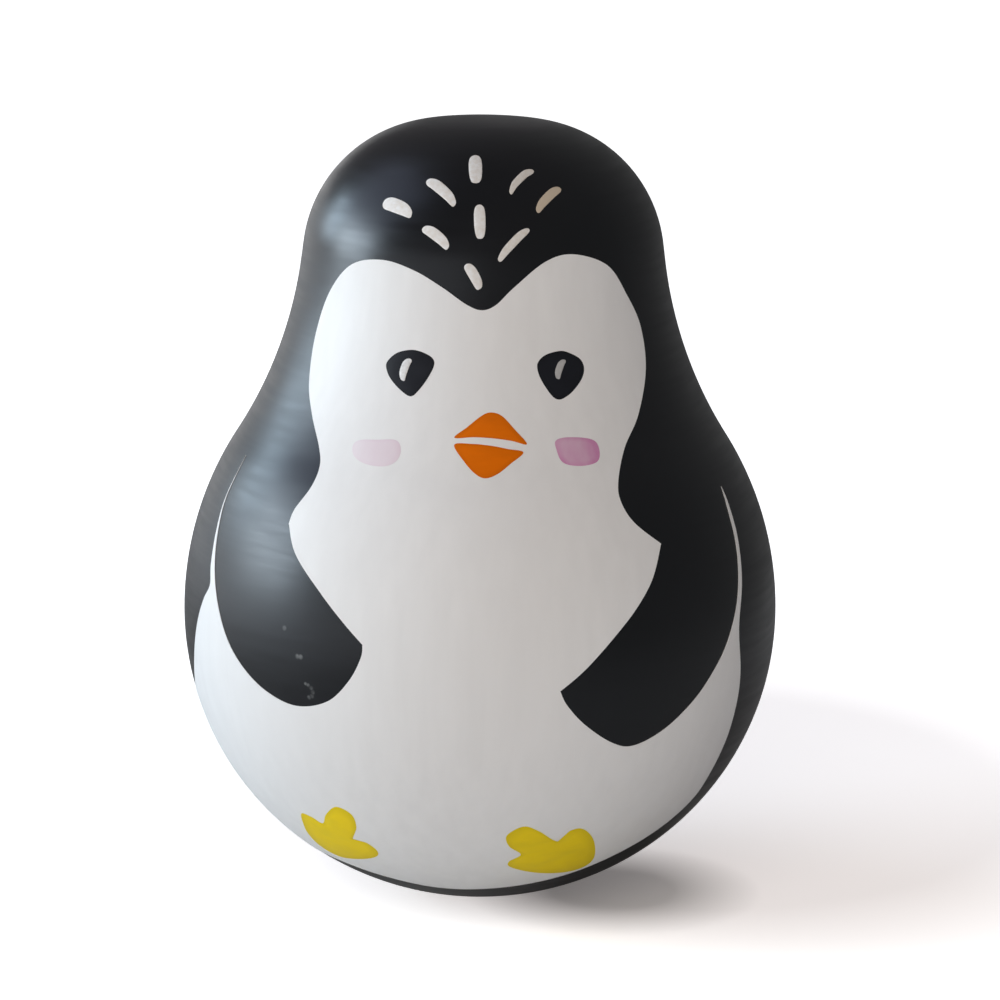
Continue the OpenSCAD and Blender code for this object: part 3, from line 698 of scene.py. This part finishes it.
class ROLYPOLY_OT_shells(bpy.types.Operator):
    """Turns the two wooden shells"""

    bl_idname = "rolypoly.shells"
    bl_label = "Turned Shells"
    COLUMNS = 288
    STEP = 0.8 * MM

    def execute(self, context):
        sizes = context.scene.rolypoly_sizes
        body = TurnedBody(sizes)
        spigot_r = body.belly_r - sizes.wall_t / 2
        bore_r = body.belly_r - sizes.wall_t
        top = sizes.body_h
        inside = body.stretch(sizes.seam_z, top - sizes.wall_t, -sizes.wall_t, 2 * self.STEP)[::-1]
        spigot = [
            (bore_r, sizes.seam_z), (bore_r, sizes.spigot_z), (spigot_r, sizes.spigot_z),
            (spigot_r, sizes.seam_z),
        ]
        upper = np.vstack([inside, spigot, body.stretch(sizes.seam_z, top, 0, self.STEP)])
        socket_r = spigot_r + sizes.glue_gap
        socket_z = sizes.spigot_z - sizes.glue_gap
        bowl = body.stretch(sizes.floor_t, socket_z, -sizes.wall_t, 2 * self.STEP)[::-1]
        lower = np.vstack([
            [(0, 0), (sizes.foot_d / 2, 0)], body.stretch(0, sizes.seam_z, 0, self.STEP)[1:],
            [(socket_r, sizes.seam_z), (socket_r, socket_z)], bowl, [(0, sizes.floor_t)],
        ])
        black = satin_black(body, context.scene.rolypoly_colours)
        for name, section in (("upper_shell_turned", upper), ("lower_shell_turned", lower)):
            points, faces = revolve(section, self.COLUMNS)
            add_piece(name, points, faces, black, name.removesuffix("_turned"))
        return {"FINISHED"}


class ROLYPOLY_OT_white_front(bpy.types.Operator):
    """Lays the white coat on the face, the belly and behind the flippers"""

    bl_idname = "rolypoly.white_front"
    bl_label = "White Front"
    STEPS = 10
    SPACING = 1.1 * MM

    def execute(self, context):
        sizes = context.scene.rolypoly_sizes
        body = TurnedBody(sizes)
        outline = np.vstack([smooth_curve(body.place(run), self.STEPS, False) for run in WHITE_RUNS])
        points, faces = coat_sheet(body, outline, sizes.dab_edge / 2, sizes.coat_t, self.SPACING)
        white = brushed_white(context.scene.rolypoly_colours)
        add_piece("white_front_coat", points, faces, white, "white_front")
        return {"FINISHED"}


class ROLYPOLY_OT_brush_marks(bpy.types.Operator):
    """Paints the short marks on the crown and the glints in the eyes"""

    bl_idname = "rolypoly.brush_marks"
    bl_label = "Brush Marks"
    STEPS = 5

    def execute(self, context):
        sizes = context.scene.rolypoly_sizes
        colours = context.scene.rolypoly_colours
        body = TurnedBody(sizes)
        crown_white = mark_paint("mark_white", colours.white, colours.beige)
        glint_white = mark_paint("glint_white", colours.white, shaded(colours.white, 0.4))
        eye_top = sizes.coat_t + sizes.dab_crown
        groups = [
            ("crown_strokes", CROWN_MARKS, 0.0, crown_white),
            ("eye_glints", GLINT_MARKS, eye_top, glint_white),
        ]
        for node, marks, base, paint in groups:
            outlines = [smooth_curve(brush_mark(body, mark), self.STEPS, True) for mark in marks]
            points, faces, edges, owners = painted_dabs(body, outlines, base)
            greyness = np.array([mark[-1] for mark in marks], float)[owners]
            attributes = {"edge": edges, "greyness": greyness}
            add_piece(f"{node}_painted", points, faces, paint, node, attributes)
        return {"FINISHED"}


class ROLYPOLY_OT_dabs(bpy.types.Operator):
    """Paints the eyes, the beak, the cheeks and the feet on the white"""

    bl_idname = "rolypoly.dabs"
    bl_label = "Eyes, Beak, Cheeks and Feet"
    STEPS = 8

    def execute(self, context):
        sizes = context.scene.rolypoly_sizes
        colours = context.scene.rolypoly_colours
        body = TurnedBody(sizes)
        black = dab_paint("eye_black", colours.eye_black, shaded(colours.eye_black, 0.6), 0.4)
        orange = dab_paint("beak_orange", colours.orange, shaded(colours.orange, 0.8), 0.12)
        yellow = dab_paint("foot_yellow", colours.yellow, shaded(colours.yellow, 0.82), 0.15)
        groups = [
            ("eyes", EYES, black, "black_paint"),
            ("beak", BEAK, orange, "orange_paint"),
            ("cheeks", CHEEKS, cheek_paint(colours), "pink_paint"),
            ("feet", FEET, yellow, "yellow_paint"),
        ]
        for node, shapes, paint, slot in groups:
            outlines = [smooth_curve(body.place(shape), self.STEPS, True) for shape in shapes]
            points, faces, edges, _ = painted_dabs(body, outlines, sizes.coat_t)
            add_piece(f"{node}_painted", points, faces, paint, node, {"edge": edges})
        return {"FINISHED"}


class ROLYPOLY_OT_works(bpy.types.Operator):
    """Finishes the weight, the chime and the clapper inside"""

    bl_idname = "rolypoly.works"
    bl_label = "Weight, Chime and Clapper"

    def execute(self, context):
        finishes = {
            "cast_weight": cast_iron(),
            "beech": beech_wood(),
            "steel": drawn_steel("drawn_steel", (0.6, 0.61, 0.63), 0.28),
            "screw_steel": drawn_steel("yellow_zinc", (0.6, 0.5, 0.24), 0.35),
            "brass": drawn_steel("turned_brass", (0.72, 0.52, 0.2), 0.22),
        }
        for row in frame["record"]["subparts"]:
            finish = finishes.get(row["material_slot"])
            if finish:
                materials = frame["nodes"][row["node"]].data.materials
                materials.clear()
                materials.append(finish)
        return {"FINISHED"}


class ROLYPOLY_OT_stage(bpy.types.Operator):
    """Sets up the floor, the lamps, the world and the camera"""

    bl_idname = "rolypoly.stage"
    bl_label = "Stage"
    # Radii of the floor and of its turned-up rim, its points round, and its rings: level, then on the rim
    FLOOR_R, SWEEP_R, FLOOR_COLUMNS = 3.0, 0.7, 96
    LEVEL_RINGS, SWEEP_RINGS = (0.5, 1), 13
    # The second colour is a painted pink tint of the shadow in the floor's glow, which turns white outwards
    FLOOR_COLOUR, GLOW_COLOUR = (0.88, 0.87, 0.865), (1, 0.94, 0.93)
    BLACK, WHITE = (0, 0, 0), (1, 1, 1)
    # The floor's glow dips by a share inside a ring under the base: a painted contact shadow
    DIP_AT, DIP_FROM, DIP_TO, DIP = (0.021, -0.003), 0.0095, 0.0235, 0.4
    # It is weak inside an oval behind the base, a painted shadow laid over the one the lamps cast, and
    # grows
    # to white outwards: how far out it has which strength, measured in shares of the distance each way
    OVAL_AT, OVAL_SHARES = (0.034, 0.052), (0.63, 0.54)
    GLOW = [(0.035, 0.54), (0.06, 0.925), (1.2, 1.0)]
    # How far to the right gloss sees which share of the floor
    IN_GLOSS = [(-0.5, 0.8), (-0.12, 0.2)]
    # The dark card's radius, height, first and last turn from the front, points along it and the glow of
    # its painted reflection
    CARD_R, CARD_H, CARD_FROM, CARD_TO = 0.3, 0.6, 25, 172
    CARD_POINTS, CARD_COLOUR, CARD_GLOW = 37, (0.01, 0.01, 0.01), 0.15
    CLIP_START, CLIP_END = 0.01, 20
    LAMP_DISTANCE = 1.0
    # Each lamp's turn from the front, positive to the right, its height angle, its width and its height
    LAMPS = {
        "window": (-91, 13, 0.5, 0.3),
        "side": (-118, 17, 0.3, 0.3),
        "sky": (-95, 40, 0.8, 0.8),
        "front": (-6, 26, 0.8, 0.8),
    }

    def seen(self, path, finish):
        """Share that is 1 for what is seen straight, in gloss or through glass, and 0 for lighting."""
        total = path.outputs["Is Camera Ray"]
        for name in ("Is Glossy Ray", "Is Transmission Ray"):
            total = finish.maths("MAXIMUM", total, path.outputs[name])
        return total

    def dimmed(self, path, finish):
        """Share of the floor that gloss does not see, and 0 for every other ray."""
        left, right = self.IN_GLOSS
        across = finish.add("ShaderNodeSeparateXYZ", {"Vector": finish.coords}).outputs["X"]
        unseen = finish.remap(across, left[0], right[0], 1 - left[1], 1 - right[1])
        return finish.maths("MULTIPLY", path.outputs["Is Glossy Ray"], unseen)

    def away(self, finish, place, shares=(1, 1)):
        """Distance along the floor from a place, with each direction weighed by its share."""
        back = [-share * along for share, along in zip(shares, place)]
        values = {0: finish.coords, 1: (*shares, 0), 2: (*back, 0)}
        offset = finish.add("ShaderNodeVectorMath", values, operation="MULTIPLY_ADD").outputs["Vector"]
        return finish.add("ShaderNodeVectorMath", {0: offset}, operation="LENGTH").outputs["Value"]

    def floor(self, scene):
        """Pale floor that takes the toy's shadow, has a painted shadow in its glow under and behind the
        base, turns whiter further out and sweeps up at its rim.

        Its half section is level and then a quarter of a circle, and it is carried round the toy.
        """
        finish = Finish("pale_floor", {"Specular IOR Level": 0.0, "Roughness": 0.9})
        path = finish.add("ShaderNodeLightPath", {})
        dimmed = self.dimmed(path, finish)
        near, step, far = self.GLOW
        # Distance from the oval of the painted shadow behind the base
        oval = self.away(finish, self.OVAL_AT, self.OVAL_SHARES)
        inner = finish.remap(oval, near[0], step[0], near[1], step[1])
        outer = finish.remap(oval, step[0], far[0], 0, far[1] - step[1])
        # Painted contact shadow: the glow is taken down inside a ring under the base
        under = finish.remap(self.away(finish, self.DIP_AT), self.DIP_FROM, self.DIP_TO, self.DIP, 0)
        glow = finish.maths("SUBTRACT", finish.maths("ADD", inner, outer), under)
        # The painted shadow is tinted pink and turns white outwards
        whiter = finish.remap(oval, near[0], step[0], 0, 1)
        share = finish.maths("SUBTRACT", self.seen(path, finish), dimmed)
        finish.put(finish.shader, {
            "Base Color": finish.mix(dimmed, self.FLOOR_COLOUR, self.BLACK),
            "Emission Color": finish.mix(whiter, self.GLOW_COLOUR, self.WHITE),
            "Emission Strength": finish.maths("MULTIPLY", glow, share),
        })
        rise = np.linspace(0, math.pi / 2, self.SWEEP_RINGS)
        level_r = self.FLOOR_R - self.SWEEP_R
        r = np.concatenate([self.LEVEL_RINGS, level_r + self.SWEEP_R * np.sin(rise)])[:, None]
        z = np.concatenate([[0, 0], self.SWEEP_R - self.SWEEP_R * np.cos(rise)])[:, None]
        turn = np.arange(self.FLOOR_COLUMNS) * 2 * math.pi / self.FLOOR_COLUMNS
        rings = np.stack([r * np.cos(turn), r * np.sin(turn), z + 0 * turn], axis=-1)
        quads = ring_quads(len(r), self.FLOOR_COLUMNS)[:, ::-1]
        faces = [list(range(self.FLOOR_COLUMNS)), *quads.tolist()]
        mesh = bpy.data.meshes.new("floor")
        mesh.from_pydata(rings.reshape(-1, 3).tolist(), [], faces)
        mesh.shade_smooth()
        mesh.materials.append(finish.material)
        floor = bpy.data.objects.new("floor", mesh)
        scene.collection.objects.link(floor)

    def dark_card(self, scene):
        """Curved dark card round the right and the back, which only gloss sees: an arc carried upwards."""
        # A sheet that only gloss sees: it paints dark reflections on the right and the back, and its weak
        # glow paints a dim reflection of the room
        finish = Finish("dark_card", {
            "Base Color": (*self.CARD_COLOUR, 1), "Specular IOR Level": 0.0,
            "Emission Color": (*self.WHITE, 1), "Emission Strength": self.CARD_GLOW,
        })
        turn = np.radians(np.linspace(self.CARD_FROM, self.CARD_TO, self.CARD_POINTS))
        low = [self.CARD_R * np.sin(turn), -self.CARD_R * np.cos(turn), 0 * turn + MM]
        low = np.stack(low, axis=1)
        count = len(low)
        first = np.arange(count - 1)
        faces = np.stack([first, first + count, first + count + 1, first + 1], axis=1)
        mesh = bpy.data.meshes.new("dark_card")
        mesh.from_pydata(np.vstack([low, low + (0, 0, self.CARD_H)]).tolist(), [], faces.tolist())
        mesh.materials.append(finish.material)
        card = bpy.data.objects.new("dark_card", mesh)
        card.visible_camera = card.visible_diffuse = card.visible_shadow = False
        scene.collection.objects.link(card)

    def world(self, scene, stage):
        """Even, dim light of the room."""
        world = bpy.data.worlds.new("room")
        world.use_nodes = True
        room = world.node_tree.nodes["Background"]
        room.inputs["Color"].default_value = (*stage.fill_colour, 1)
        room.inputs["Strength"].default_value = stage.fill
        scene.world = world

    def lamps(self, scene, stage):
        """Soft lamps on a ball round the middle of the toy, all facing it, with no gloss from the front."""
        middle = Vector((0, 0, CAD_BOX[1].z / 2))
        for name, (turn, height, wide, tall) in self.LAMPS.items():
            data = bpy.data.lights.new(name, "AREA")
            data.shape = "RECTANGLE"
            data.size, data.size_y = wide, tall
            data.energy = getattr(stage, f"{name}_power")
            data.color = getattr(stage, f"{name}_colour")
            turn, height = math.radians(turn), math.radians(height)
            level = math.cos(height)
            way = Vector((level * math.sin(turn), -level * math.cos(turn), math.sin(height)))
            lamp = bpy.data.objects.new(name, data)
            lamp.location = middle + self.LAMP_DISTANCE * way
            lamp.rotation_euler = way.to_track_quat("Z", "Y").to_euler()
            lamp.visible_camera = False
            lamp.visible_glossy = name != "front"
            scene.collection.objects.link(lamp)

    def camera(self, scene, stage):
        """Camera in front of the face, looking down at the middle of the toy."""
        data = bpy.data.cameras.new("camera")
        data.lens = stage.lens
        data.clip_start, data.clip_end = self.CLIP_START, self.CLIP_END
        camera = bpy.data.objects.new("camera", data)
        turned = Matrix.Rotation(math.pi / 2 - stage.elevation, 4, "X")
        offset = Matrix.Translation((stage.side, stage.lift, stage.distance))
        rolled = Matrix.Rotation(stage.roll, 4, "Z")
        middle = Matrix.Translation((0, 0, CAD_BOX[1].z / 2))
        camera.matrix_world = middle @ turned @ offset @ rolled
        scene.collection.objects.link(camera)
        scene.camera = camera

    def execute(self, context):
        scene = context.scene
        stage = scene.rolypoly_stage
        scene.view_settings.view_transform = "Standard"
        self.floor(scene)
        self.dark_card(scene)
        self.world(scene, stage)
        self.lamps(scene, stage)
        self.camera(scene, stage)
        return {"FINISHED"}


PIECE_OPERATORS = (
    ROLYPOLY_OT_shells,
    ROLYPOLY_OT_white_front,
    ROLYPOLY_OT_brush_marks,
    ROLYPOLY_OT_dabs,
    ROLYPOLY_OT_works,
    ROLYPOLY_OT_stage,
)
SETTINGS = {
    "rolypoly_sizes": RolyPolySizes,
    "rolypoly_colours": RolyPolyColours,
    "rolypoly_stage": RolyPolyStage,
}


class ROLYPOLY_PT_panel(bpy.types.Panel):
    """Lists the steps and the settings of the toy"""

    bl_idname = "ROLYPOLY_PT_panel"
    bl_label = "Roly Poly Toy"
    bl_space_type = "VIEW_3D"
    bl_region_type = "UI"
    bl_category = "Roly Poly"

    def draw(self, context):
        layout = self.layout
        for operator in PIECE_OPERATORS:
            layout.operator(operator.bl_idname)
        for key, group in SETTINGS.items():
            box = layout.box()
            for name in group.__annotations__:
                box.prop(getattr(context.scene, key), name)


CLASSES = (*SETTINGS.values(), *PIECE_OPERATORS, ROLYPOLY_PT_panel)


def register():
    for cls in CLASSES:
        bpy.utils.register_class(cls)
    for key, group in SETTINGS.items():
        setattr(bpy.types.Scene, key, PointerProperty(type=group))


def unregister():
    for key in SETTINGS:
        delattr(bpy.types.Scene, key)
    for cls in reversed(CLASSES):
        bpy.utils.unregister_class(cls)


def main():
    """Builds every piece and the stage."""
    register()
    bpy.ops.rolypoly.shells()
    bpy.ops.rolypoly.white_front()
    bpy.ops.rolypoly.brush_marks()
    bpy.ops.rolypoly.dabs()
    bpy.ops.rolypoly.works()
    bpy.ops.rolypoly.stage()


if __name__ == "__main__":
    main()
